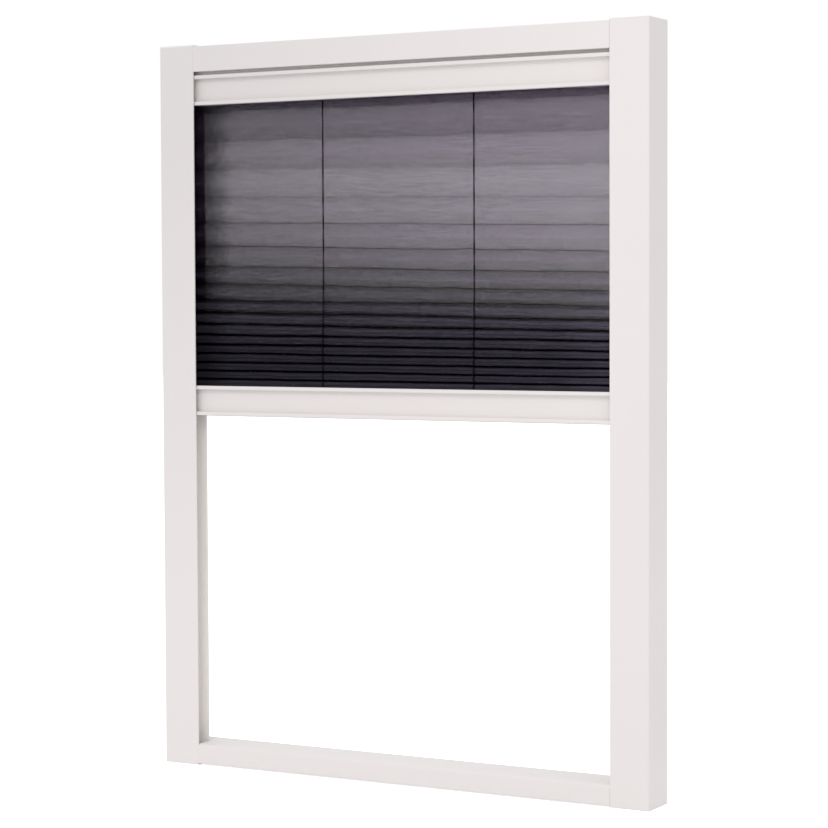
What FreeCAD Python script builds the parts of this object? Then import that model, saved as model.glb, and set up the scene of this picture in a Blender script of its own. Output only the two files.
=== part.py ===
import FreeCAD, Part
import math
import operator
import os
import Sketcher
from FreeCAD import Placement, Rotation, Vector

# A pleated insect screen in its own frame, in millimetres. X runs across the window, Y from the
# room side to the back, Z up. The origin is the middle of the footprint, on the floor.
doc = FreeCAD.newDocument("PleatedScreen")
sheet = doc.addObject("Spreadsheet::Sheet", "Sizes")

# Sizes that are set by themselves
DRIVING = [
    ("frame_width", 592, "over the outer sides of the two rails"),
    ("frame_height", 800, "over the end caps"),
    ("frame_depth", 46, "room side to back"),
    ("rail_face", 44, "width of a side rail seen from the room"),
    ("rail_wall", 1.5, "wall of the rail, head and sill extrusions"),
    ("channel_gap", 19.6, "clear width of the guide channel, front to back"),
    ("channel_reach", 18, "depth of the guide channel into the rail"),
    ("edge_round", 0.8, "rounding of the long outer edges"),
    ("cap_plate", 1.5, "plate of an end cap"),
    ("cap_plug", 6, "how far an end cap's plug enters the rail"),
    ("plug_wall", 2, "wall of an end cap's plug"),
    ("plug_play", 0.15, "play round each piece that is pushed into another"),
    ("head_face", 28, "height of the head"),
    ("head_gap", 3.8, "open joint between the head and the top bar"),
    ("sill_rise", 22.5, "height of the sill"),
    ("sill_nose", 5, "rounding of the sill's front top edge"),
    ("connector_length", 30, "length of a corner connector"),
    ("shank_radius", 2, "corner screw's shank"),
    ("shank_length", 16, "corner screw inside its connector"),
    ("head_radius", 4, "corner screw's head"),
    ("head_rise", 2.6, "height of a corner screw's head"),
    ("socket_radius", 1.5, "over the corners of the screw's socket"),
    ("socket_depth", 1.6, "depth of the screw's socket"),
    ("screw_share", 0.27, "from a joint's middle to each of its screws, over the chamber's height"),
    ("screw_play", 0.1, "radial play round a corner screw"),
    ("screw_clear", 0.6, "round a screw's head, where an end cap's plug is notched for it"),
    ("bar_height", 33, "height of a bar"),
    ("bar_play", 0.9, "play of a bar in the channel, each side"),
    ("bar_wall", 1.5, "wall of the bar extrusion"),
    ("bar_entry", 8, "how far a bar reaches into the channel"),
    ("lip_height", 4.2, "height of a bar's grip lips"),
    ("grip_depth", 5, "depth of the grip between the lips"),
    ("slot_mouth", 5, "mouth of a T slot"),
    ("slot_width", 9, "inner width of a T slot"),
    ("slot_depth", 2.4, "inner height of a T slot"),
    ("slot_lip", 1.1, "thickness of a T slot's lips"),
    ("strip_play", 0.2, "play of a strip in its T slot"),
    ("strip_proud", 0.5, "how far a net strip stands out of its bar"),
    ("seal_proud", 0.6, "how far the closing seal stands out of the lower bar"),
    ("clear_opening", 367, "open height between the sill and the lower bar"),
    ("end_head", 9, "length of a bar's end piece outside the bar"),
    ("end_plug", 12, "length of a bar's end piece inside the bar"),
    ("end_play", 0.3, "play of an end piece in the channel, each side"),
    ("pleat_panel", 20, "width of one panel of the net between two folds"),
    ("pleat_slack", 0.1, "left of a pleat's two panels when the net is drawn right down"),
    ("fold_flat", 2, "height of the blunt edge of a fold"),
    ("open_pitch", 36.2, "from pleat to pleat where the net is open"),
    ("packed_pitch", 8.6, "from pleat to pleat where the net is packed"),
    ("pleat_fade", 2.1, "pleats over which the pitch changes"),
    ("net_gauge", 0.8, "thickness of the net's solid, front to back"),
    ("net_entry", 14, "how far the net reaches into the channel"),
    ("cord_radius", 0.8, "tension cord"),
    ("cord_spread", 92, "from the middle of the net to each cord"),
    ("cord_rise", 6.2, "a cord's level run above the floor of the bar's chamber"),
    ("cord_drop", 5.2, "a cord's straight end below the chamber's ceiling, before its bend"),
    ("end_bend", 5, "radius of a cord's bend inside an end piece"),
    ("cord_seam", 2, "where a side run meets the cord of the bar, above its underside"),
    ("cord_hole", 1.4, "radius of every hole that a cord runs through"),
    ("cord_margin", 3.5, "from a cord's side run to the channel's web"),
    ("ferrule_radius", 2.1, "crimped ferrule on a cord's end"),
    ("ferrule_bore", 0.95, "radius of a ferrule's bore"),
    ("ferrule_height", 5, "height of a ferrule"),
    ("anchor_length", 16, "cord anchor, along X"),
    ("anchor_height", 20.5, "cord anchor above the end cap"),
    ("anchor_seat", 6, "depth of the ferrule's seat under the anchor"),
    ("seat_play", 0.2, "radial play of a ferrule in its seat"),
]

# Sizes and places that follow from them
DERIVED = [
    ("half_width", "=frame_width / 2"),
    ("front", "=-frame_depth / 2"),
    ("inner_edge", "=half_width - rail_face"),
    ("web_face", "=inner_edge + channel_reach"),
    ("box_width", "=rail_face - channel_reach"),
    ("flange_back", "=2 * rail_wall + channel_gap"),
    ("channel_mid", "=front + rail_wall + channel_gap / 2"),
    ("rail_length", "=frame_height - 2 * cap_plate"),
    ("head_bottom", "=frame_height - cap_plate - head_face"),
    ("head_joint", "=head_bottom + head_face / 2"),
    ("sill_top", "=cap_plate + sill_rise"),
    ("sill_joint", "=cap_plate + sill_rise / 2"),
    ("rear_start", "=flange_back + rail_wall"),
    ("rear_end", "=frame_depth - rail_wall"),
    ("rear_mid", "=front + (rear_start + rear_end) / 2"),
    ("bar_depth", "=channel_gap - 2 * bar_play"),
    ("bar_front", "=channel_mid - bar_depth / 2"),
    ("bar_half", "=inner_edge + bar_entry"),
    ("slot_floor", "=slot_lip + slot_depth"),
    ("cavity_low", "=slot_floor + bar_wall"),
    ("cavity_high", "=bar_height - cavity_low"),
    ("cavity_front", "=grip_depth + bar_wall"),
    ("cavity_back", "=bar_depth - bar_wall"),
    ("lower_level", "=sill_top + clear_opening"),
    ("upper_level", "=head_bottom - head_gap - bar_height"),
    ("net_bottom", "=lower_level + bar_height + strip_proud"),
    ("net_top", "=upper_level - strip_proud"),
    ("net_half", "=inner_edge + net_entry"),
    ("cord_x", "=web_face - cord_margin"),
    ("cord_level", "=cavity_low + cord_rise"),
    ("cord_bend", "=cavity_high - cord_level - cord_drop"),
    ("cord_top", "=upper_level + cavity_low + ferrule_height"),
    ("cord_foot", "=cap_plate + anchor_seat - ferrule_height"),
    ("cord_run", "=lower_level + cord_level"),
]

for row, (name, value, note) in enumerate(DRIVING, start=1):
    sheet.set(f"A{row}", name)
    sheet.set(f"B{row}", str(value))
    sheet.set(f"C{row}", note)
    sheet.setAlias(f"B{row}", name)
for row, (name, formula) in enumerate(DERIVED, start=len(DRIVING) + 2):
    sheet.set(f"A{row}", name)
    sheet.set(f"B{row}", formula)
    sheet.setAlias(f"B{row}", name)
doc.recompute()


class Size:
    """A number that carries its formula, so that sketches and objects are bound to the sheet."""

    def __init__(self, value, text):
        self.value, self.text = float(value), text

    def join(self, other, act, sign, swap=False):
        first, second = (sized(other), self) if swap else (self, sized(other))
        return Size(act(first.value, second.value), f"({first.text} {sign} {second.text})")

    def __add__(self, other):
        return self.join(other, operator.add, "+")

    def __sub__(self, other):
        return self.join(other, operator.sub, "-")

    def __mul__(self, other):
        return self.join(other, operator.mul, "*")

    def __truediv__(self, other):
        return self.join(other, operator.truediv, "/")

    def __rsub__(self, other):
        return self.join(other, operator.sub, "-", swap=True)

    def __rmul__(self, other):
        return self.join(other, operator.mul, "*", swap=True)

    def __neg__(self):
        return 0 - self


def sized(value):
    return value if isinstance(value, Size) else Size(value, str(value))


class Cells:
    """cell.rail_face is the cell with that alias."""

    def __getattr__(self, name):
        return Size(getattr(sheet, name), "Sizes." + name)


cell = Cells()
ALONG_X, ALONG_Z = Vector(1, 0, 0), Vector(0, 0, 1)
# A cylinder rises along its own Z; these turn it to the right and to the left
TO_RIGHT, TO_LEFT = Rotation(Vector(0, 1, 0), 90), Rotation(Vector(0, 1, 0), -90)
UPRIGHT = Rotation()


def bind(obj, **properties):
    for path, value in properties.items():
        obj.setExpression(path, sized(value).text)
    return obj


def place(obj, corner):
    for axis, value in zip("xyz", corner):
        obj.setExpression("Placement.Base." + axis, sized(value).text)
    return obj


def box(name, corner, length, width, height):
    obj = doc.addObject("Part::Box", name)
    return place(bind(obj, Length=length, Width=width, Height=height), corner)


def rod(name, base, radius, length, turn=UPRIGHT):
    obj = doc.addObject("Part::Cylinder", name)
    obj.Placement = Placement(Vector(), turn)
    return place(bind(obj, Radius=radius, Height=length), base)


def elbow(name, centre, bend, radius, turn):
    """A round bar bent through a right angle."""
    obj = doc.addObject("Part::Torus", name)
    obj.Angle3 = 90
    obj.Placement = Placement(Vector(), turn)
    return place(bind(obj, Radius1=bend, Radius2=radius), centre)


def group(name, members):
    obj = doc.addObject("Part::Compound", name)
    obj.Links = members
    return obj


def fuse(name, pieces):
    obj = doc.addObject("Part::MultiFuse", name)
    obj.Shapes = pieces
    obj.Refine = True
    return obj


def cut(name, base, tools):
    obj = doc.addObject("Part::Cut", name)
    obj.Base = base
    obj.Tool = tools[0] if len(tools) == 1 else group(name + "_tools", tools)
    return obj


def mirror(name, source):
    """The same piece for the right-hand side."""
    obj = doc.addObject("Part::Mirroring", name)
    obj.Source = source
    obj.Normal = ALONG_X
    return obj


def upside_down(name, source):
    """The same piece at the other end of the frame's height."""
    obj = doc.addObject("Part::Mirroring", name)
    obj.Source = source
    obj.Normal = ALONG_Z
    obj.setExpression("Base.z", (cell.frame_height / 2).text)
    return obj


def pair(name, piece):
    return group(name, [piece, mirror(name + "_right", piece)])


def new_body(name, corner):
    return place(doc.addObject("PartDesign::Body", name), corner)


def draw(body, name, role, loops):
    """A sketch of closed outlines, each corner tied to the sheet."""
    sketch = body.newObject("Sketcher::SketchObject", name)
    origin = next(f for f in body.Origin.OriginFeatures if f.Role == role)
    sketch.AttachmentSupport = [(origin, "")]
    sketch.MapMode = "FlatFace"
    for loop in loops:
        corners = [(sized(a), sized(b)) for a, b in loop]
        points = [Vector(a.value, b.value, 0) for a, b in corners]
        first, count = sketch.GeometryCount, len(points)
        for i in range(count):
            sketch.addGeometry(Part.LineSegment(points[i], points[(i + 1) % count]))
        for i in range(count):
            after = first + (i + 1) % count
            sketch.addConstraint(Sketcher.Constraint("Coincident", first + i, 2, after, 1))
        for i, (across, up) in enumerate(corners):
            for kind, value, axis in (("DistanceX", across, -2), ("DistanceY", up, -1)):
                if value.text == "0":
                    sketch.addConstraint(Sketcher.Constraint("PointOnObject", first + i, 1, axis))
                else:
                    index = sketch.addConstraint(
                        Sketcher.Constraint(kind, -1, 1, first + i, 1, value.value))
                    sketch.setExpression(f"Constraints[{index}]", value.text)
    return sketch


def extrude(body, sketch, length, name="Extrusion"):
    pad = body.newObject("PartDesign::Pad", name)
    pad.Profile = sketch
    bind(pad, Length=length)
    doc.recompute()
    return pad


def soften(body, base, direction, corners, radius, name="Softened"):
    """Rounds the long edges that run through the given corners of the section."""
    chosen = []
    for number, edge in enumerate(base.Shape.Edges, start=1):
        ends = [v.Point for v in edge.Vertexes]
        if len(ends) != 2 or (ends[1] - ends[0]).cross(direction).Length > 1e-6:
            continue
        spot = (ends[0].y, ends[0].z) if direction.x else (ends[0].x, ends[0].y)
        if any(math.dist(spot, (sized(a).value, sized(b).value)) < 1e-4 for a, b in corners):
            chosen.append(f"Edge{number}")
    fillet = body.newObject("PartDesign::Fillet", name)
    fillet.Base = (base, chosen)
    bind(fillet, Radius=radius)
    doc.recompute()
    return fillet


def rectangle(left, low, right, high):
    return [(left, low), (right, low), (right, high), (left, high)]


# Side rails: an aluminium extrusion, a box to the outside and a guide channel to the inside,
# drilled behind the channel for the screws of the head and the sill, one above the other
def screw_levels(middle, height):
    offset = cell.screw_share * (height - 2 * cell.rail_wall)
    return {"low": middle - offset, "high": middle + offset}


HEAD_SCREWS = screw_levels(cell.head_joint, cell.head_face)
SILL_SCREWS = screw_levels(cell.sill_joint, cell.sill_rise)


def joint_holes(name, levels, start, length):
    radius = cell.shank_radius + cell.screw_play
    return [rod(f"{name}_{spot}", (start, cell.rear_mid, level), radius, length, TO_RIGHT)
            for spot, level in levels.items()]


def rail_chamber(inset):
    return rectangle(inset, inset, cell.box_width - inset, cell.frame_depth - inset)


channel_back = cell.rail_wall + cell.channel_gap
rail_body = new_body("rail_profile", (-cell.half_width, cell.front, cell.cap_plate))
rail_section = draw(rail_body, "RailSection", "XY_Plane", [
    [(0, 0), (cell.rail_face, 0), (cell.rail_face, cell.rail_wall),
     (cell.box_width, cell.rail_wall), (cell.box_width, channel_back),
     (cell.rail_face, channel_back), (cell.rail_face, cell.flange_back),
     (cell.box_width, cell.flange_back), (cell.box_width, cell.frame_depth),
     (0, cell.frame_depth)],
    rail_chamber(cell.rail_wall)])
RAIL_CORNERS = [(0, 0), (cell.rail_face, 0), (0, cell.frame_depth),
                (cell.box_width, cell.frame_depth)]
soften(rail_body, extrude(rail_body, rail_section, cell.rail_length), ALONG_Z,
       RAIL_CORNERS, cell.edge_round)
web_back = -(cell.web_face + 2 * cell.rail_wall)
left_rail = cut("left_rail", rail_body, [
    *joint_holes("head_rail_hole", HEAD_SCREWS, web_back, 3 * cell.rail_wall),
    *joint_holes("sill_rail_hole", SILL_SCREWS, web_back, 3 * cell.rail_wall)])
nodes = [left_rail, mirror("right_rail", left_rail)]

# End caps: moulded plates that close the rails, each with a hollow plug; the frame stands on two
cap_body = new_body("cap_profile", (-cell.half_width, cell.front, 0))
cap_outline = draw(cap_body, "CapOutline", "XY_Plane", [
    [(0, 0), (cell.rail_face, 0), (cell.rail_face, cell.flange_back),
     (cell.box_width, cell.flange_back), (cell.box_width, cell.frame_depth),
     (0, cell.frame_depth)]])
plug_outer = cell.rail_wall + cell.plug_play
plug_rings = draw(cap_body, "PlugRing", "XY_Plane", [
    rail_chamber(plug_outer), rail_chamber(plug_outer + cell.plug_wall)])
plate = extrude(cap_body, cap_outline, cell.cap_plate, "Plate")
soften(cap_body, plate, ALONG_Z, RAIL_CORNERS, cell.edge_round)
extrude(cap_body, plug_rings, cell.cap_plate + cell.cap_plug, "Plug")
plug_side = plug_outer + cell.plug_wall
notch_reach = cell.head_radius + cell.screw_clear
cap_bottom_left = cut("cap_bottom_left", cap_body, [
    box("plug_notch", (-(cell.web_face + plug_side), cell.rear_mid - notch_reach, cell.cap_plate),
        plug_side, 2 * notch_reach, cell.cap_plug)])
cap_top_left = upside_down("cap_top_left", cap_bottom_left)
nodes += [cap_bottom_left, mirror("cap_bottom_right", cap_bottom_left),
          cap_top_left, mirror("cap_top_right", cap_top_left)]


# Head and sill: extrusions with a front and a rear chamber. Their ends are notched round the
# channels, so that the rear half reaches the rails' boxes.
def slot_below(middle):
    """The corners of a T slot that opens downwards, from front to rear."""
    mouth, inside = cell.slot_mouth / 2, cell.slot_width / 2
    return [(middle - mouth, 0), (middle - mouth, cell.slot_lip),
            (middle - inside, cell.slot_lip), (middle - inside, cell.slot_floor),
            (middle + inside, cell.slot_floor), (middle + inside, cell.slot_lip),
            (middle + mouth, cell.slot_lip), (middle + mouth, 0)]


def notched(name, body, level, height):
    notch = box(name + "_notch", (-cell.web_face, cell.front, level),
                cell.channel_reach, cell.flange_back, height)
    return cut(name, body, [pair(name + "_notches", notch)])


def rear_chamber(height):
    return rectangle(cell.rear_start, cell.rail_wall, cell.rear_end, height - cell.rail_wall)


head_body = new_body("head_profile", (-cell.web_face, cell.front, cell.head_bottom))
head_section = draw(head_body, "HeadSection", "YZ_Plane", [
    [(0, 0), *slot_below(cell.rail_wall + cell.channel_gap / 2), (cell.frame_depth, 0),
     (cell.frame_depth, cell.head_face), (0, cell.head_face)],
    rectangle(cell.rail_wall, cell.cavity_low, cell.flange_back, cell.head_face - cell.rail_wall),
    rear_chamber(cell.head_face)])
soften(head_body, extrude(head_body, head_section, 2 * cell.web_face), ALONG_X,
       [(0, 0), (0, cell.head_face), (cell.frame_depth, cell.head_face)], cell.edge_round)
head_rail = notched("head_rail", head_body, cell.head_bottom, cell.head_face)

sill_body = new_body("sill_profile", (-cell.web_face, cell.front, cell.cap_plate))
sill_ceiling = cell.sill_rise - cell.rail_wall
sill_section = draw(sill_body, "SillSection", "YZ_Plane", [
    rectangle(0, 0, cell.frame_depth, cell.sill_rise),
    [(cell.rail_wall, cell.rail_wall), (cell.flange_back, cell.rail_wall),
     (cell.flange_back, sill_ceiling), (cell.sill_nose, sill_ceiling),
     (cell.rail_wall, cell.sill_rise - cell.sill_nose)],
    rear_chamber(cell.sill_rise)])
sill_pad = extrude(sill_body, sill_section, 2 * cell.web_face)
nosed = soften(sill_body, sill_pad, ALONG_X, [(0, cell.sill_rise)], cell.sill_nose, "Nose")
soften(sill_body, nosed, ALONG_X, [(0, 0), (cell.frame_depth, cell.sill_rise)], cell.edge_round)
nodes += [head_rail, notched("sill_rail", sill_body, cell.cap_plate, cell.sill_rise)]


# Corner connectors: blocks pressed into the rear chambers and drawn to the rails by two screws
# each, which sit inside the rails' boxes
def connector(name, low, height, levels):
    block = box(name + "_block",
                (-cell.web_face, cell.front + cell.rear_start + cell.plug_play,
                 low + cell.rail_wall + cell.plug_play),
                cell.connector_length, cell.rear_end - cell.rear_start - 2 * cell.plug_play,
                height - 2 * cell.rail_wall - 2 * cell.plug_play)
    start = -(cell.web_face + cell.rail_wall)
    depth = cell.rail_wall + cell.shank_length + cell.screw_play
    left = cut(name + "_left", block, joint_holes(name + "_hole", levels, start, depth))
    return [left, mirror(name + "_right", left)]


def joint_screws(name, levels):
    seat, y = -(cell.web_face + cell.rail_wall), cell.rear_mid
    screws = []
    for spot, level in levels.items():
        label = f"{name}_{spot}"
        shank = rod(label + "_shank", (seat, y, level), cell.shank_radius,
                    cell.rail_wall + cell.shank_length, TO_RIGHT)
        head = rod(label + "_head", (seat, y, level), cell.head_radius, cell.head_rise, TO_LEFT)
        socket = doc.addObject("Part::Prism", label + "_socket")
        socket.Polygon = 6
        socket.Placement = Placement(Vector(), TO_RIGHT)
        bind(socket, Circumradius=cell.socket_radius, Height=cell.socket_depth)
        place(socket, (seat - cell.head_rise, y, level))
        screws.append(cut(label, fuse(label + "_blank", [shank, head]), [socket]))
    left = group(name + "_left", screws)
    return group(name, [*screws, mirror(name + "_right", left)])


nodes += connector("head_connector", cell.head_bottom, cell.head_face, HEAD_SCREWS)
nodes += connector("sill_connector", cell.cap_plate, cell.sill_rise, SILL_SCREWS)
nodes += [joint_screws("head_screws", HEAD_SCREWS), joint_screws("sill_screws", SILL_SCREWS)]


# Bars: one extrusion for both, with a grip between two lips in front, a T slot above and below
# and a chamber that the cords run through
def bar(name, level, hole_low, hole_length):
    middle = cell.bar_depth / 2
    below = slot_below(middle)
    above = [(y, cell.bar_height - z) for y, z in reversed(below)]
    upper_lip = cell.bar_height - cell.lip_height
    body = new_body(name + "_profile", (-cell.bar_half, cell.bar_front, level))
    section = draw(body, "BarSection", "YZ_Plane", [
        [(0, 0), *below, (cell.bar_depth, 0), (cell.bar_depth, cell.bar_height), *above,
         (0, cell.bar_height), (0, upper_lip), (cell.grip_depth, upper_lip),
         (cell.grip_depth, cell.lip_height), (0, cell.lip_height)],
        rectangle(cell.cavity_front, cell.cavity_low, cell.cavity_back, cell.cavity_high)])
    soften(body, extrude(body, section, 2 * cell.bar_half), ALONG_X,
           [(0, 0), (0, cell.bar_height), (0, upper_lip), (0, cell.lip_height),
            (cell.bar_depth, 0), (cell.bar_depth, cell.bar_height)], cell.edge_round)
    return cut(name, body, [cord_holes(name, hole_low, hole_length)])


def cord_holes(name, low, length):
    left = rod(name + "_cord_hole", (-cell.cord_spread, cell.channel_mid, low),
               cell.cord_hole, length)
    return pair(name + "_cord_holes", left)


wall_hole = 2 * cell.bar_wall + cell.slot_floor
nodes += [bar("top_bar", cell.upper_level, cell.upper_level, wall_hole),
          bar("lower_bar", cell.lower_level, cell.lower_level + cell.cavity_high - cell.bar_wall,
              wall_hole)]


# End pieces: moulded guides plugged into the bars, with a curved passage that turns a cord down
def end_piece(name, level):
    run, turn_x = level + cell.cord_level, -(cell.cord_x - cell.end_bend)
    head = box(name + "_head",
               (-(cell.bar_half + cell.end_head),
                cell.channel_mid - cell.channel_gap / 2 + cell.end_play, level),
               cell.end_head, cell.channel_gap - 2 * cell.end_play, cell.bar_height)
    plug = box(name + "_plug",
               (-cell.bar_half, cell.bar_front + cell.cavity_front + cell.plug_play,
                level + cell.cavity_low + cell.plug_play),
               cell.end_plug, cell.cavity_back - cell.cavity_front - 2 * cell.plug_play,
               cell.cavity_high - cell.cavity_low - 2 * cell.plug_play)
    inlet = rod(name + "_inlet", (turn_x, cell.channel_mid, run), cell.cord_hole,
                cell.end_head + cell.end_plug, TO_RIGHT)
    bend = elbow(name + "_bend", (turn_x, cell.channel_mid, run - cell.end_bend),
                 cell.end_bend, cell.cord_hole, LEFT_TO_DOWN)
    outlet = rod(name + "_outlet", (-cell.cord_x, cell.channel_mid, level), cell.cord_hole,
                 cell.cord_level - cell.end_bend)
    left = cut(name + "_left", fuse(name + "_blank", [head, plug]),
               [fuse(name + "_passage", [inlet, bend, outlet])])
    return [left, mirror(name + "_right", left)]


# Quarter rings that turn a cord from the net into the bar, and from the bar down the channel
DOWN_TO_LEFT, LEFT_TO_DOWN = Rotation(Vector(1, 0, 0), -90), Rotation(Vector(0, 1, 1), 180)
nodes += end_piece("top_bar_end", cell.upper_level) + end_piece("lower_bar_end", cell.lower_level)


# Strips that slide into the T slots: one joins the top bar to the head, two carry the net's
# edges, and one is the seal that meets the sill
def strip(name, level, half_length, outline):
    body = new_body(name, (-half_length, cell.channel_mid - cell.slot_width / 2, level))
    extrude(body, draw(body, "StripSection", "YZ_Plane", [outline]), 2 * half_length)
    return body


def net_strip(name, level, outline):
    """A strip that the cords pass through."""
    blank = strip(name + "_profile", level, cell.bar_half, outline)
    return cut(name, blank, [cord_holes(name, level, net_tee)])


foot_front, foot_back = cell.strip_play, cell.slot_width - cell.strip_play
neck_front = (cell.slot_width - cell.slot_mouth) / 2 + cell.strip_play
neck_back = cell.slot_width - neck_front
foot_low, foot_high = cell.strip_play, cell.slot_depth - cell.strip_play


def tee_up(total):
    """A T section with its foot in the slot below and its neck out through the mouth."""
    return [(foot_front, foot_low), (foot_back, foot_low), (foot_back, foot_high),
            (neck_back, foot_high), (neck_back, total), (neck_front, total),
            (neck_front, foot_high), (foot_front, foot_high)]


def tee_down(total):
    """The same section for a slot that opens downwards."""
    foot_under, foot_over = total - foot_high, total - foot_low
    return [(neck_front, 0), (neck_back, 0), (neck_back, foot_under), (foot_back, foot_under),
            (foot_back, foot_over), (foot_front, foot_over), (foot_front, foot_under),
            (neck_front, foot_under)]


net_tee = cell.slot_floor + cell.strip_proud
upper_foot = cell.slot_floor + cell.head_gap + cell.slot_lip + cell.strip_play
upper_top = upper_foot + foot_high - foot_low
double_tee = [(foot_front, foot_low), (foot_back, foot_low), (foot_back, foot_high),
              (neck_back, foot_high), (neck_back, upper_foot), (foot_back, upper_foot),
              (foot_back, upper_top), (foot_front, upper_top), (foot_front, upper_foot),
              (neck_front, upper_foot), (neck_front, foot_high), (foot_front, foot_high)]
top_slot, lower_slot = (level + cell.bar_height - cell.slot_floor
                        for level in (cell.upper_level, cell.lower_level))
nodes += [
    strip("joining_strip", top_slot, cell.bar_half, double_tee),
    net_strip("net_strip_upper", cell.net_top, tee_down(net_tee)),
    net_strip("net_strip_lower", lower_slot, tee_up(net_tee)),
    strip("lower_bar_seal", cell.lower_level - cell.seal_proud, cell.bar_half,
          tee_down(cell.slot_floor + cell.seal_proud))]


# Net: one pleated sheet of mesh, open under the top bar and packed above the lower bar, with a
# slit in each panel for each cord
def pleat_folds():
    """(y, z) of the net's blunt folds, from its upper edge to its lower edge."""
    drawn_down = cell.net_top - cell.sill_top - cell.bar_height - cell.strip_proud
    count = math.ceil((drawn_down / (2 * cell.pleat_panel - cell.pleat_slack)).value)
    packed = cell.packed_pitch.value
    extra = cell.open_pitch.value - packed
    # As many pleats are open as it takes for all of them to fill the height
    fewest, most = -count, 2 * count
    for _ in range(50):
        middle_pleat = (fewest + most) / 2
        pitches = [packed + extra / (1 + math.exp((i - middle_pleat) / cell.pleat_fade.value))
                   for i in range(count)]
        if sum(pitches) < (cell.net_top - cell.net_bottom).value:
            fewest = middle_pleat
        else:
            most = middle_pleat
    middle, level = cell.channel_mid.value, cell.net_top.value
    flat = cell.fold_flat.value
    folds = [(middle, level)]
    for pitch in pitches:
        half_depth = math.sqrt((cell.pleat_panel.value - flat) ** 2 - (pitch / 2 - flat) ** 2) / 2
        for side, drop in ((half_depth, pitch / 4), (-half_depth, 3 * pitch / 4)):
            folds += [(middle + side, level - drop + flat / 2),
                      (middle + side, level - drop - flat / 2)]
        level -= pitch
    return folds + [(middle, cell.net_bottom.value)]


pleats = pleat_folds()
half_gauge, net_end = cell.net_gauge.value / 2, cell.net_half.value
outline = [Vector(-net_end, y - half_gauge, z) for y, z in pleats] \
    + [Vector(-net_end, y + half_gauge, z) for y, z in reversed(pleats)]
pleated_sheet = doc.addObject("Part::Feature", "pleated_sheet")
pleated_sheet.Shape = Part.Face(Part.makePolygon(outline + outline[:1])).extrude(
    Vector(2 * net_end, 0, 0))
slit = box("net_slit", (-cell.cord_spread - cell.cord_hole, cell.channel_mid - cell.cord_hole,
                        cell.net_bottom),
           2 * cell.cord_hole, 2 * cell.cord_hole, cell.net_top - cell.net_bottom)
nodes.append(cut("pleated_net", pleated_sheet, [pair("net_slits", slit)]))

# Cords: each runs from a ferrule in the top bar through the net, along the lower bar and down
# the channel to its anchor, so the bar stays level. Each is in three runs, cut where the bar
# takes the cord up and lets it go.
bend_x = -(cell.cord_spread + cell.cord_bend)
turn_x = -(cell.cord_x - cell.end_bend)
y = cell.channel_mid
bar_cord_top = cell.lower_level + cell.cavity_high
side_cord_top = cell.lower_level + cell.cord_seam
net_run = rod("cord_net_left", (-cell.cord_spread, y, bar_cord_top), cell.cord_radius,
              cell.cord_top - bar_cord_top)
bar_run = fuse("cord_bar_left", [
    rod("cord_drop", (-cell.cord_spread, y, cell.cord_run + cell.cord_bend), cell.cord_radius,
        bar_cord_top - cell.cord_run - cell.cord_bend),
    elbow("cord_inner_bend", (bend_x, y, cell.cord_run + cell.cord_bend), cell.cord_bend,
          cell.cord_radius, DOWN_TO_LEFT),
    rod("cord_level_run", (bend_x, y, cell.cord_run), cell.cord_radius, bend_x - turn_x, TO_LEFT),
    elbow("cord_outer_bend", (turn_x, y, cell.cord_run - cell.end_bend), cell.end_bend,
          cell.cord_radius, LEFT_TO_DOWN),
    rod("cord_exit", (-cell.cord_x, y, side_cord_top), cell.cord_radius,
        cell.cord_run - cell.end_bend - side_cord_top)])
side_run = rod("cord_side_left", (-cell.cord_x, y, cell.cord_foot), cell.cord_radius,
               side_cord_top - cell.cord_foot)
for run in (net_run, bar_run, side_run):
    nodes += [run, mirror(run.Name.replace("left", "right"), run)]


# Cord ends: crimped ferrules, held in the top bar and under an anchor at the foot of each channel
def ferrule(name, x, level):
    body = rod(name + "_body", (x, cell.channel_mid, level), cell.ferrule_radius,
               cell.ferrule_height)
    bore = rod(name + "_bore", (x, cell.channel_mid, level), cell.ferrule_bore,
               cell.ferrule_height)
    return cut(name, body, [bore])


top_ferrule = ferrule("ferrule_top", -cell.cord_spread, cell.upper_level + cell.cavity_low)
foot_ferrule = ferrule("ferrule_foot", -cell.cord_x, cell.cord_foot)
anchor_block = box("cord_anchor_block",
                   (-cell.web_face, cell.channel_mid - cell.channel_gap / 2 + cell.plug_play,
                    cell.cap_plate),
                   cell.anchor_length, cell.channel_gap - 2 * cell.plug_play, cell.anchor_height)
anchor_foot = (-cell.cord_x, cell.channel_mid, cell.cap_plate)
cord_anchor_left = cut("cord_anchor_left", anchor_block, [
    rod("anchor_hole", anchor_foot, cell.cord_hole, cell.anchor_height),
    rod("anchor_seat_bore", anchor_foot, cell.ferrule_radius + cell.seat_play, cell.anchor_seat)])
nodes += [
    group("cord_ferrules", [top_ferrule, mirror("ferrule_top_right", top_ferrule),
                            foot_ferrule, mirror("ferrule_foot_right", foot_ferrule)]),
    cord_anchor_left, mirror("cord_anchor_right", cord_anchor_left)]

# Check, then write each piece to its own file
doc.recompute()
for obj in doc.Objects:
    if {"Invalid", "Error"} & set(obj.State):
        raise RuntimeError(f"{obj.Name} failed: {obj.State}")
os.makedirs("parts", exist_ok=True)
for node in nodes:
    shape = node.Shape
    if shape.isNull() or not shape.isValid() or not shape.Solids:
        raise RuntimeError(f"{node.Name} has no valid solid")
    node.Label = node.Name
    shape.exportStep(f"parts/{node.Label}.step")
    print(f"{node.Label}: {len(shape.Solids)} solids, {shape.Volume:.1f} mm3")
print(f"{len(nodes)} nodes, {(len(pleats) - 2) // 4} pleats")
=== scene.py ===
import bmesh
import bpy
import math
from mathutils import Matrix, Vector, noise


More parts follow.
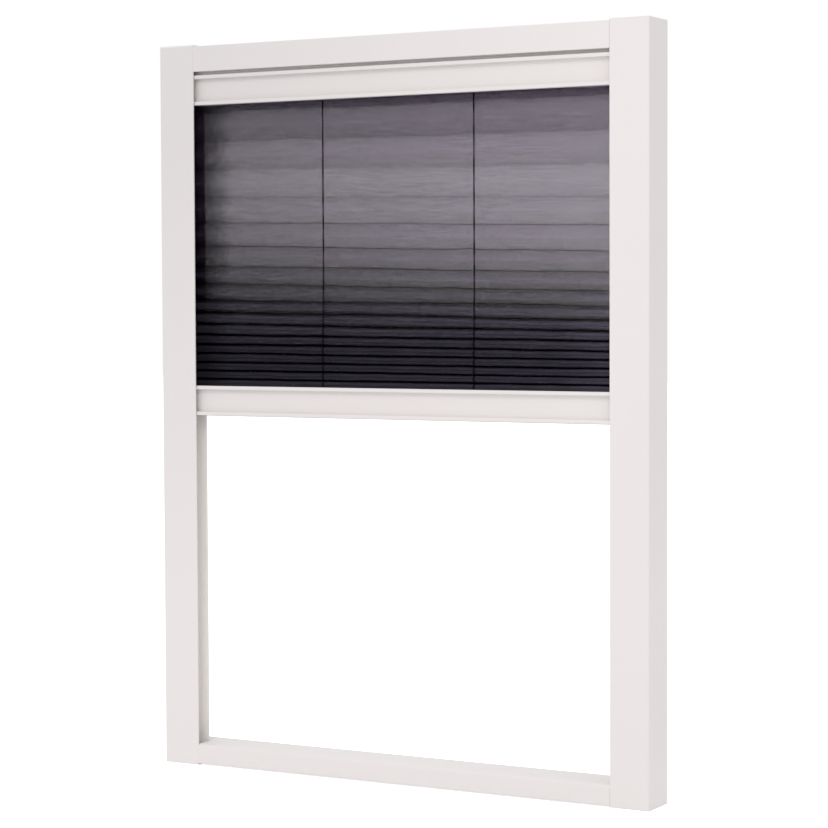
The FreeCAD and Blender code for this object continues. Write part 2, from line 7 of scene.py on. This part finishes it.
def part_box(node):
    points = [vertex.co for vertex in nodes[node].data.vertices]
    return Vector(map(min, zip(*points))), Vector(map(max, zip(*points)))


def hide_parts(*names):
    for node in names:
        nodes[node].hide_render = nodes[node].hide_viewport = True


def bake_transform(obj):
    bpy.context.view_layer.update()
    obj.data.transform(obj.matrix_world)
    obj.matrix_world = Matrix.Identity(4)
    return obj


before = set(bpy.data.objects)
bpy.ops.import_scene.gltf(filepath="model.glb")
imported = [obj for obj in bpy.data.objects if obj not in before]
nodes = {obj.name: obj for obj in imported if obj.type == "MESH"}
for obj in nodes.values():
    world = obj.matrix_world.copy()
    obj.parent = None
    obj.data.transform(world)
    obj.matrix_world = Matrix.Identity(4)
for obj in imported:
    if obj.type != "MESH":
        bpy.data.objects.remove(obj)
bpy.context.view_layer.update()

# View: a long lens to the right of the screen and a little above the middle of its height,
# rolled by a quarter of a degree.
camera_data = bpy.data.cameras.new("camera")
camera_data.sensor_width = 36
camera_data.lens = 108.67
camera = bpy.data.objects.new("camera", camera_data)
bpy.context.scene.collection.objects.link(camera)
yaw, pitch, roll = math.radians(29.157), math.radians(2.602), math.radians(-0.238)
camera.matrix_world = (Matrix.Translation((1.31053, -2.32626, 0.51751))
                       @ Matrix.Rotation(yaw, 4, "Z")
                       @ Matrix.Rotation(math.pi / 2 - pitch, 4, "X")
                       @ Matrix.Rotation(roll, 4, "Z"))
bpy.context.scene.camera = camera
bpy.context.scene.view_settings.view_transform = "Standard"


class Wire:
    """A shader socket that arithmetic can be written with."""

    def __init__(self, finish, socket):
        self.finish, self.socket = finish, socket

    def maths(self, operation, *values):
        return self.finish.node("ShaderNodeMath", {"operation": operation},
                                dict(enumerate(values)))

    def __add__(self, other):
        return self.maths("ADD", self, other)

    def __sub__(self, other):
        return self.maths("SUBTRACT", self, other)

    def __rsub__(self, other):
        return self.maths("SUBTRACT", other, self)

    def __mul__(self, other):
        return self.maths("MULTIPLY", self, other)

    def __truediv__(self, other):
        return self.maths("DIVIDE", self, other)

    __radd__, __rmul__ = __add__, __mul__

    def __pow__(self, other):
        return self.maths("POWER", self, other)

    def below(self, limit):
        return self.maths("LESS_THAN", self, limit)

    def above(self, limit):
        return self.maths("GREATER_THAN", self, limit)

    def either(self, other):
        return self.maths("MAXIMUM", self, other)

    def repeats(self, length):
        """How far along each repeat of the given length, from 0 to 1."""
        return self.maths("FRACT", self / length)

    def sine(self):
        return self.maths("SINE", self)

    def size(self):
        return self.maths("ABSOLUTE", self)

    def rise(self, low, high):
        """0 up to the low value, 1 from the high value, and even between them."""
        return self.finish.node("ShaderNodeMapRange", {}, {
            "Value": self, "From Min": low, "From Max": high})

    def part(self, name):
        """Another output of the same node."""
        return Wire(self.finish, self.socket.node.outputs[name])


class Finish:
    """A surface's material, on the Principled shader."""

    def __init__(self, name):
        self.material = bpy.data.materials.new(name)
        self.material.use_nodes = True
        self.tree = self.material.node_tree
        self.tree.nodes.clear()
        self.shader = self.node("ShaderNodeBsdfPrincipled")
        self.node("ShaderNodeOutputMaterial", {}, {"Surface": self.shader})
        self.place = self.node("ShaderNodeTexCoord").part("Object")

    def node(self, kind, settings=None, values=None):
        made = self.tree.nodes.new(kind)
        for key, value in (settings or {}).items():
            setattr(made, key, value)
        self.fill(made, values or {})
        return Wire(self, made.outputs[0]) if made.outputs else None

    def fill(self, made, values):
        for key, value in values.items():
            if isinstance(value, Wire):
                self.tree.links.new(value.socket, made.inputs[key])
            else:
                made.inputs[key].default_value = value

    def set(self, values):
        self.fill(self.shader.socket.node, values)

    def between(self, low, high, share):
        """A colour between two colours."""
        mix = self.node("ShaderNodeMix", {"data_type": "RGBA"}, {0: share, 6: low, 7: high})
        return Wire(self, mix.socket.node.outputs[2])

    def relief(self, height, distance):
        self.set({"Normal": self.node("ShaderNodeBump", {}, {
            "Height": height, "Distance": distance})})

    def grain(self, size, detail=2.0, stretch=(1, 1, 1)):
        """Noise with grains of about the given size, in metres."""
        place = self.node("ShaderNodeMapping", {}, {"Vector": self.place, "Scale": stretch})
        return self.node("ShaderNodeTexNoise", {}, {
            "Vector": place, "Scale": 1 / size, "Detail": detail})

    def axis(self, name, source=None):
        split = self.node("ShaderNodeSeparateXYZ", {}, {"Vector": source or self.place})
        return split.part(name)

    def painted_shade_share(self, spread):
        """How much painted shade a coat gets: from 0 on the right and below to 1 on the upper left.
        """
        return self.axis("X").rise(0.25, -0.27) * self.axis("Z").rise(0.15, 0.75) + spread

    def attribute(self, name):
        return self.node("ShaderNodeAttribute", {"attribute_name": name}).part("Fac")

    def cover(self, *objects):
        for obj in objects:
            obj.data.materials.clear()
            obj.data.materials.append(self.material)


def nodes_named(*names):
    return [nodes[name] for name in names]


def piece_from(shape, name, finish):
    """A finished bmesh as a piece of the scene."""
    data = bpy.data.meshes.new(name)
    shape.to_mesh(data)
    shape.free()
    for face in data.polygons:
        face.use_smooth = True
    piece = bpy.data.objects.new(name, data)
    bpy.context.scene.collection.objects.link(piece)
    finish.cover(piece)
    return piece


# Frame profiles: two side rails, a head and a sill of extruded aluminium, cut square and powder
# coated in a warm white. The baked powder leaves a fine pebble and a slow change in gloss. Light
# and shade are painted into the coat: the walls of the guide channels are painted whiter, the
# rails' outer sides are painted darker, and a painted shade greys the coat towards the upper left.
coat = Finish("warm_white_powder_coat")
cloud = coat.grain(0.14)
pebble = coat.grain(0.0016)
rail_low, rail_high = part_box("right_rail")
guide_low, guide_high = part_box("top_bar_end_right")
channel_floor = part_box("head_rail")[1][0]
from_middle, deep = coat.axis("X").size(), coat.axis("Y")
guide_play = 0.0004
# Painted light: the walls of the guide channels are painted whiter than the rest of the coat
painted_light_in_channel = (from_middle.above(rail_low[0] + 0.0001)
              * from_middle.below(channel_floor + guide_play)
              * deep.above(guide_low[1] - guide_play) * deep.below(guide_high[1] + guide_play))
unshaded_coat = coat.between((0.805, 0.765, 0.757, 1), (0.97, 0.94, 0.91, 1), painted_light_in_channel)
# Painted shade: the same colours, darker, for the upper left and the rails' outer sides
coat_in_painted_shade = coat.between((0.69, 0.657, 0.652, 1), (0.77, 0.73, 0.72, 1), painted_light_in_channel)
# Painted shade on the rails' outer sides
painted_shade_outside = from_middle.above(rail_high[0] - 0.0008)
coat.set({"Base Color": coat.between(unshaded_coat, coat_in_painted_shade, coat.painted_shade_share(0.15 * cloud + 0.35 * painted_shade_outside)),
          "Roughness": 0.40 + 0.10 * cloud})
coat.relief(pebble, 0.00006)
coat.cover(*nodes_named("left_rail", "right_rail", "head_rail", "sill_rail"))

# End caps: moulded plates that close the rails, in a plastic that matches the coat, with a fine
# spark-eroded grain.
cap_plastic = Finish("white_cap_plastic")
erosion = cap_plastic.grain(0.0007, 3.0)
cap_plastic.set({
    "Base Color": cap_plastic.between((0.74, 0.72, 0.71, 1), (0.79, 0.77, 0.76, 1), erosion),
    "Roughness": 0.5 + 0.12 * erosion})
cap_plastic.relief(erosion, 0.00008)
cap_plastic.cover(*nodes_named("cap_bottom_left", "cap_bottom_right", "cap_top_left",
                               "cap_top_right"))

# Corner connectors: glass-filled plastic blocks in the head's and the sill's rear chambers, with
# the short fibres showing as faint streaks.
block_plastic = Finish("grey_connector_plastic")
fibres = block_plastic.grain(0.0012, 4.0, (0.25, 1, 1))
block_plastic.set({
    "Base Color": block_plastic.between((0.20, 0.20, 0.21, 1), (0.30, 0.30, 0.31, 1), fibres),
    "Roughness": 0.55 + 0.2 * fibres})
block_plastic.relief(fibres, 0.00005)
block_plastic.cover(*nodes_named("head_connector_left", "head_connector_right",
                                 "sill_connector_left", "sill_connector_right"))

# Corner screws: zinc-plated steel with turned heads.
zinc = Finish("zinc_plated_steel")
turning = zinc.grain(0.0004, 2.0, (6, 1, 1))
zinc.set({"Base Color": zinc.between((0.50, 0.51, 0.52, 1), (0.66, 0.66, 0.64, 1), turning),
          "Metallic": 1.0, "Roughness": 0.28 + 0.18 * turning})
zinc.relief(turning, 0.00002)
zinc.cover(*nodes_named("head_screws", "sill_screws"))

# Bars: one extrusion for the fixed bar under the head and the sliding bar, coated like the frame.
# Faint draw lines along the extrusion show under the coat. A painted shade greys the coat towards
# the upper left.
bar_coat = Finish("warm_white_bar_coat")
bar_cloud = bar_coat.grain(0.12)
draw_lines = bar_coat.grain(0.0009, 2.0, (0.01, 1, 1))
# Painted shade: the bar coat is darker towards the upper left
bar_coat.set({
    "Base Color": bar_coat.between((0.80, 0.758, 0.75, 1), (0.685, 0.650, 0.643, 1),
                                   bar_coat.painted_shade_share(0.15 * bar_cloud)),
    "Roughness": 0.36 + 0.10 * bar_cloud})
bar_coat.relief(draw_lines + 0.5 * bar_coat.grain(0.0016), 0.00005)
bar_coat.cover(*nodes_named("top_bar", "lower_bar"))

# End pieces and cord anchors: moulded in a light grey slippery plastic, dull from the mould.
glide_plastic = Finish("light_grey_glide_plastic")
mould = glide_plastic.grain(0.0009, 3.0)
glide_plastic.set({
    "Base Color": glide_plastic.between((0.46, 0.46, 0.45, 1), (0.54, 0.54, 0.53, 1), mould),
    "Roughness": 0.42 + 0.15 * mould})
glide_plastic.relief(mould, 0.00005)
glide_plastic.cover(*nodes_named(
    "top_bar_end_left", "top_bar_end_right", "lower_bar_end_left", "lower_bar_end_right",
    "cord_anchor_left", "cord_anchor_right"))

# Strips: extruded plastic, pushed into the bars' slots from the end. A pale one joins the top bar
# to the head, and two dark ones hold the net's edges.
strip_plastic = Finish("pale_strip_plastic")
extruding = strip_plastic.grain(0.0008, 2.0, (0.01, 1, 1))
strip_plastic.set({
    "Base Color": strip_plastic.between((0.60, 0.59, 0.58, 1), (0.68, 0.67, 0.66, 1), extruding),
    "Roughness": 0.45 + 0.15 * extruding})
strip_plastic.relief(extruding, 0.00006)
strip_plastic.cover(nodes["joining_strip"])
dark_strip = Finish("dark_strip_plastic")
rubbing = dark_strip.grain(0.0008, 2.0, (0.01, 1, 1))
dark_strip.set({
    "Base Color": dark_strip.between((0.012, 0.012, 0.013, 1), (0.024, 0.023, 0.025, 1), rubbing),
    "Roughness": 0.55 + 0.15 * rubbing})
dark_strip.relief(rubbing, 0.00006)
dark_strip.cover(*nodes_named("net_strip_upper", "net_strip_lower"))

# Closing seal: a strip of dense grey pile under the sliding bar.
pile = Finish("grey_pile")
tufts = pile.grain(0.0005, 3.0)
pile.set({"Base Color": pile.between((0.13, 0.13, 0.14, 1), (0.30, 0.30, 0.31, 1), tufts),
          "Roughness": 0.95, "Sheen Weight": 0.4})
pile.relief(tufts, 0.0005)
pile.cover(nodes["lower_bar_seal"])

# Net: one sheet of fine dark mesh, pleated by heat. It hangs from the top bar's strip with wide
# open pleats, and closes up on the sliding bar, where each fold swells to a round nose. Its folds
# waver as cloth does. Light and shade are painted into how much light the sheet lets through and
# into its colour.
net_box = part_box("pleated_net")
net_middle = (net_box[0][1] + net_box[1][1]) / 2
net_top, net_low = net_box[1][2], net_box[0][2]
net_width, net_height = net_box[1][0] - net_box[0][0], net_top - net_low
pleat_count, panel_length, columns, panel_rows = 17, 0.0200, 180, 10
flat_length = 2 * pleat_count * panel_length
open_extra, middle_pleat, pleat_fade = 3.2, 5.3, 2.1
shares = [1 + open_extra / (1 + math.exp((k - middle_pleat) / pleat_fade))
          for k in range(pleat_count)]
pitches = [share * net_height / sum(shares) for share in shares]


def ramp(value, low, high):
    return min(1, max(0, (value - low) / (high - low)))


def fold_levels(u):
    """Heights of the folds at a share u of the width, front, back, front, back, … The first and
    the last lie half a panel past the sheet's edges. At mid height they lean, and all waver."""
    levels, level = [net_top + pitches[0] / 4], net_top
    for k, pitch in enumerate(pitches):
        for share, kind in ((0.25, 0.0), (0.75, 7.0)):
            depth = level - share * pitch
            along = (net_top - depth) / net_height
            tilt = -0.0125 * (u - 0.5) * math.sin(math.pi * along)
            slow = noise.noise((u * 3.1, k * 3.7, kind)) * min(0.12 * pitch, 0.0015)
            quick = noise.noise((u * 22.0, k * 5.3, kind + 3)) * min(0.06 * pitch, 0.0008)
            levels.append(depth + tilt + slow + quick)
        level -= pitch
    return levels + [net_low - pitches[-1] / 4]


def panel_section(drop, front_round, back_round):
    """Points from a front fold down to the next back fold, as (depth behind the front, drop)."""
    low, high = 0.0, math.pi / 2
    for _ in range(30):
        slope = (low + high) / 2
        straight = panel_length - (front_round + back_round) * (math.pi / 2 - slope)
        reached = (front_round + back_round) * math.cos(slope) + straight * math.sin(slope)
        low, high = (slope, high) if reached < drop else (low, slope)
    points = []
    for i in range(panel_rows + 1):
        run = panel_length * i / panel_rows
        nose = min(run, front_round * (math.pi / 2 - slope))
        middle = min(max(run - nose, 0), straight)
        tail = max(run - nose - middle, 0) / back_round
        turned = nose / front_round
        points.append((front_round * (1 - math.cos(turned)) + middle * math.cos(slope)
                       + back_round * (math.sin(slope + tail) - math.sin(slope)),
                       front_round * math.sin(turned) + middle * math.sin(slope)
                       + back_round * (math.cos(slope) - math.cos(slope + tail))))
    return points


def light_through(x, height, band, from_back_fold):
    """Share of the cloth that light comes through: most on the open pleats and less on the packed
    ones. Less under the top bar and beside the left rail is painted shade, more to the right is
    painted light, and less at a back fold is painted shade."""
    to_right = ramp(x, -0.20, 0.24)
    share = 0.252 * min(1, 0.22 + 0.26 * band)
    share /= 1 + math.exp((band - 5.6 - 0.6 * to_right) / 1.7)
    share *= 1 - 0.5 * ramp(band - 0.9 * to_right, 8, 9)
    share *= 1 - 0.72 * math.exp((height - net_top) / 0.005)
    share *= 1 - 0.18 * math.exp(-from_back_fold / 0.004)
    return share * (0.78 + 0.34 * to_right) * (0.28 + 0.72 * ramp(x, -0.244, -0.208) ** 1.4)


def thread_painted_light(x, height, packed, lit):
    """Painted light and shade on the threads: painted shade near the lower bar and beside the left
    rail, painted light just above the bar, to the right and, on packed pleats, by the right rail,
    and on an open pleat painted shade where little light comes through."""
    along = (net_top - height) / net_height
    return ((1 - 0.45 * ramp(along, 0.72, 0.86) + 0.12 * ramp(along, 0.94, 0.99))
            * (0.22 + 0.38 * ramp(x, -0.240, -0.206) + 0.4 * ramp(x, -0.20, 0.24))
            * (1 + 0.5 * packed * ramp(x, 0.195, 0.245))
            * max(packed, 0.35 + 0.65 * min(1, lit / 0.16)))


# How far each pleat is packed, from 0 to 1, and the section of its panels
packing = [ramp(0.58 - pitch / 2 / panel_length, 0, 0.30) for pitch in pitches]
sections = [panel_section(pitch / 2, 0.0006 + packed * 0.32 * pitch, 0.0006 + packed * 0.03 * pitch)
            for pitch, packed in zip(pitches, packing)]
net_shape = bmesh.new()
bmesh.ops.create_grid(net_shape, x_segments=columns, y_segments=2 * pleat_count * panel_rows,
                      size=1)
net_uv = net_shape.loops.layers.uv.new("flat_cloth")
openness_and_painted_shade = net_shape.verts.layers.float.new("openness_and_painted_shade")
closed_up = net_shape.verts.layers.float.new("closed_up")
painted_light_and_shade = net_shape.verts.layers.float.new("painted_light_and_shade")
for face in net_shape.faces:
    for loop in face.loops:
        loop[net_uv].uv = ((loop.vert.co.x + 1) / 2, (1 - loop.vert.co.y) / 2)
column_folds = [fold_levels(i / columns) for i in range(columns + 1)]
for vert in net_shape.verts:
    u, v = (vert.co.x + 1) / 2, (1 - vert.co.y) / 2
    folds = column_folds[round(u * columns)]
    row = round(v * 2 * pleat_count * panel_rows) + panel_rows // 2
    panel = min(row // panel_rows, 2 * pleat_count)
    step = row - panel * panel_rows
    pleat = min(max(panel - 1, 0) // 2, pleat_count - 1)
    section, pitch = sections[pleat], pitches[pleat]
    goes_back = panel % 2 == 0
    depth, drop = section[step if goes_back else panel_rows - step]
    drop *= (folds[panel] - folds[panel + 1]) / section[-1][1]
    height = folds[panel] - drop if goes_back else folds[panel + 1] + drop
    height = net_top if v < 0.0001 else net_low if v > 0.9999 else height
    x = net_box[0][0] + u * net_width
    billow = math.sin(math.pi * step / panel_rows) * noise.noise((u * 7.0, panel * 2.3, 1.0))
    vert.co = (x, net_middle - section[-1][0] / 2 + depth + 0.0004 * billow,
               min(net_top, max(net_low, height + 0.0006 * billow * (1 - packing[pleat]))))
    from_back_fold = panel_length * (panel_rows - step if goes_back else step) / panel_rows
    vert[openness_and_painted_shade] = light_through(x, height, (panel + 1) // 2, from_back_fold)
    vert[closed_up] = packing[pleat]
    vert[painted_light_and_shade] = thread_painted_light(x, height, packing[pleat], vert[openness_and_painted_shade])

mesh_cloth = Finish("dark_pleated_mesh")
flat = mesh_cloth.node("ShaderNodeTexCoord").part("UV")
across = mesh_cloth.axis("X", flat) * net_width
down = mesh_cloth.axis("Y", flat) * flat_length
# Streaks: a random change in how much light comes through, and painted highlights along the folds
streaks_and_painted_highlights = mesh_cloth.node("ShaderNodeTexNoise", {}, {
    "Vector": mesh_cloth.node("ShaderNodeMapping", {}, {"Vector": flat, "Scale": (16, 300, 1)}),
    "Scale": 1.0, "Detail": 2.0})
lets_through = mesh_cloth.attribute("openness_and_painted_shade") * (0.76 + 0.48 * streaks_and_painted_highlights)
closed = mesh_cloth.attribute("closed_up")
# Square gaps between threads, as wide as lets the light's share through
mesh_pitch = 0.0008
thread = 1.0 - lets_through ** 0.5
warp = across.repeats(mesh_pitch).below(thread)
weft = down.repeats(mesh_pitch).below(thread)
# Painted shade: a dark crease at each back fold, a darker groove between the round noses of the
# packed folds and a darker line along each of their front folds. The cords' thin lines over the
# imported noses are set aside so that they line up when seen from the camera's side
in_pleat = (down + 1.5 * panel_length).repeats(2 * panel_length) * (2 * panel_length)
from_fold = (in_pleat - panel_length).size()
crease_shade_width = (down / flat_length).rise(0.17, 0.40)
crease = in_pleat.below(0.0008 * crease_shade_width)
cord_low, cord_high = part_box("cord_net_right")
cord_place, set_aside = (cord_low[0] + cord_high[0]) / 2, 0.0034
at_cord = ((mesh_cloth.axis("X") - set_aside).size() - cord_place).size().below(0.0012)
nose = 1.0 - 0.55 * closed * from_fold.rise(0.0044, 0.0072)
front_fold_painted_shade = 1.0 - 0.4 * closed * (1.0 - from_fold.rise(0.0004, 0.0014))
# Painted light and shade make up the threads' brightness
bright = mesh_cloth.attribute("painted_light_and_shade") * nose * front_fold_painted_shade * (0.45 + 1.1 * streaks_and_painted_highlights)
bright = bright * (1.0 - 0.9 * closed * at_cord) * (1.0 - 0.55 * crease)
# Painted glow: on open pleats the threads are painted lighter and purpler, as if lit from behind
cloth_with_painted_glow = mesh_cloth.between((0.093, 0.059, 0.113, 1), (0.060, 0.054, 0.076, 1), closed)
mesh_cloth.set({
    "Base Color": mesh_cloth.between((0.0012, 0.0010, 0.0015, 1), cloth_with_painted_glow, bright),
    "Roughness": 0.9, "Specular IOR Level": 0.03,
    "Alpha": warp.either(weft).either(crease)})
mesh_cloth.relief((across.repeats(mesh_pitch) * math.pi).sine()
                  + (down.repeats(mesh_pitch) * math.pi).sine(), 0.00006)
net = piece_from(net_shape, "pleated_mesh", mesh_cloth)
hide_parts("pleated_net")
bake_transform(net)


# Tension cords: thin braided black cords that run down through the net, along inside the sliding
# bar and down the channels. The runs in the net and in the channels change length with the slide;
# here each run is drawn as a fixed cylinder in its place at rest.
braid = Finish("black_braided_cord")
spiral = (braid.axis("Z") * 5200 + braid.axis("X") * 2600).sine()
braid.set({"Base Color": braid.between((0.002, 0.002, 0.003, 1), (0.008, 0.007, 0.009, 1),
                                       spiral * 0.5 + 0.5),
           "Roughness": 0.8, "Specular IOR Level": 0.05})
braid.relief(spiral, 0.0001)
braid.cover(*nodes_named("cord_bar_left", "cord_bar_right"))
for name, upper_moves in (("cord_net_left", False), ("cord_net_right", False),
                          ("cord_side_left", True), ("cord_side_right", True)):
    low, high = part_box(name)
    radius = (high[0] - low[0]) / 2
    cord = bmesh.new()
    bmesh.ops.create_cone(cord, cap_ends=True, segments=12, radius1=radius, radius2=radius,
                          depth=high[2] - low[2])
    bmesh.ops.translate(cord, verts=cord.verts, vec=[(a + b) / 2 for a, b in zip(low, high)])
    run = piece_from(cord, name + "_run", braid)
    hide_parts(name)
    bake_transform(run)

# Ferrules: short aluminium tubes crimped on the cords' ends.
crimp = Finish("crimped_aluminium")
dents = crimp.grain(0.0008, 2.0)
crimp.set({"Base Color": crimp.between((0.62, 0.62, 0.63, 1), (0.74, 0.74, 0.75, 1), dents),
           "Metallic": 1.0, "Roughness": 0.32 + 0.2 * dents})
crimp.relief(dents, 0.00005)
crimp.cover(nodes["cord_ferrules"])

# Studio: a white floor and white surroundings, and one large soft lamp above, in front.
# The floor looks white to the camera and in reflections, and keeps the shadow.
floor_shape = bmesh.new()
bmesh.ops.create_grid(floor_shape, x_segments=1, y_segments=1, size=12)
floor_data = bpy.data.meshes.new("floor")
floor_shape.to_mesh(floor_data)
floor_shape.free()
floor = bpy.data.objects.new("floor", floor_data)
bpy.context.scene.collection.objects.link(floor)
white_floor = Finish("white_floor")
rays = white_floor.node("ShaderNodeLightPath")
seen = rays.part("Is Camera Ray").either(rays.part("Is Glossy Ray")).either(
    rays.part("Is Transmission Ray"))
white_floor.set({"Base Color": (0.9, 0.9, 0.9, 1), "Roughness": 0.9, "Specular IOR Level": 0.0,
                 "Emission Color": (1, 1, 1, 1), "Emission Strength": 0.75 * seen})
white_floor.cover(floor)

studio = bpy.data.worlds.new("studio")
studio.use_nodes = True
bpy.context.scene.world = studio
surround = studio.node_tree
path = surround.nodes.new("ShaderNodeLightPath")
looked_at = surround.nodes.new("ShaderNodeMath")
looked_at.operation = "MAXIMUM"
strength = surround.nodes.new("ShaderNodeMapRange")
strength.inputs["To Min"].default_value = 0.88
strength.inputs["To Max"].default_value = 1.0
surround.links.new(path.outputs["Is Camera Ray"], looked_at.inputs[0])
surround.links.new(path.outputs["Is Glossy Ray"], looked_at.inputs[1])
surround.links.new(looked_at.outputs[0], strength.inputs["Value"])
surround.links.new(strength.outputs[0], surround.nodes["Background"].inputs["Strength"])
surround.nodes["Background"].inputs["Color"].default_value = (1, 1, 1, 1)


def soft_lamp(name, place, target, size, power):
    data = bpy.data.lights.new(name, "AREA")
    data.shape, data.size, data.size_y, data.energy = "RECTANGLE", size[0], size[1], power
    lamp = bpy.data.objects.new(name, data)
    bpy.context.scene.collection.objects.link(lamp)
    aim = (Vector(target) - Vector(place)).to_track_quat("-Z", "Y").to_matrix().to_4x4()
    lamp.matrix_world = Matrix.Translation(place) @ aim


soft_lamp("overhead_lamp", (0.5, -3.4, 3.6), (0, 0, 0.4), (2.2, 1.8), 44)
